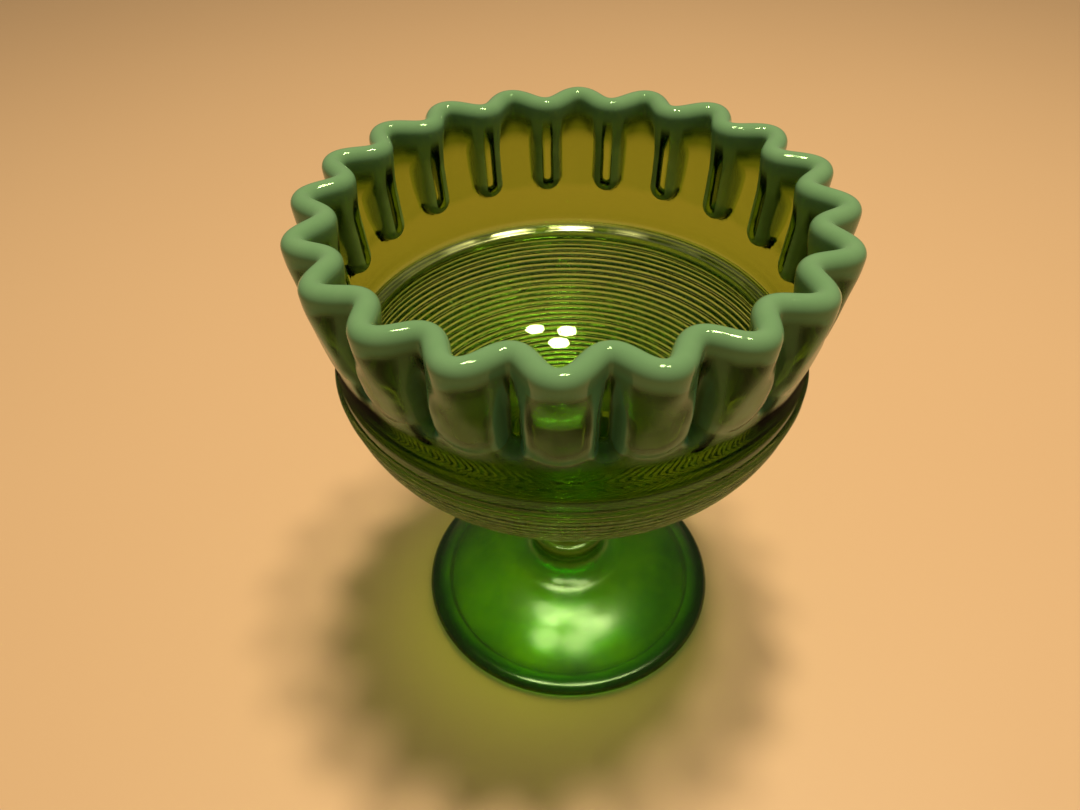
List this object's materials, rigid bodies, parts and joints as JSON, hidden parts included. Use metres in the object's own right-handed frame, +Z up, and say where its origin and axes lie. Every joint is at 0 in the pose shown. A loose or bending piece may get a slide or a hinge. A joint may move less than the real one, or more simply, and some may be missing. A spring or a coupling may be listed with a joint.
{
  "type": "footed glass dish",
  "caption": "Footed round glass dish with a crimped, fluted wall, an opal lip and thread wound round the lower bowl.",
  "frame": {"origin": "centre of the foot's resting plane", "axes": "+Z up along the axis of the dish"},
  "size_m": [0.1188, 0.1188, 0.1283],
  "materials": {
    "bowl_glass": "clear olive-green glass, fading to milky at the lip",
    "opal_glass": "glossy jade-green opal glass, opaque",
    "thread_glass": "fine drawn green glass thread",
    "foot_glass": "vivid green glass with a soft satin gloss"
  },
  "bodies": {
    "root": {"bowl": "bowl_glass", "opal_lip": "opal_glass", "thread_winding": "thread_glass", "collar": "foot_glass", "stem": "foot_glass", "foot": "foot_glass"}
  },
  "joints": []
}
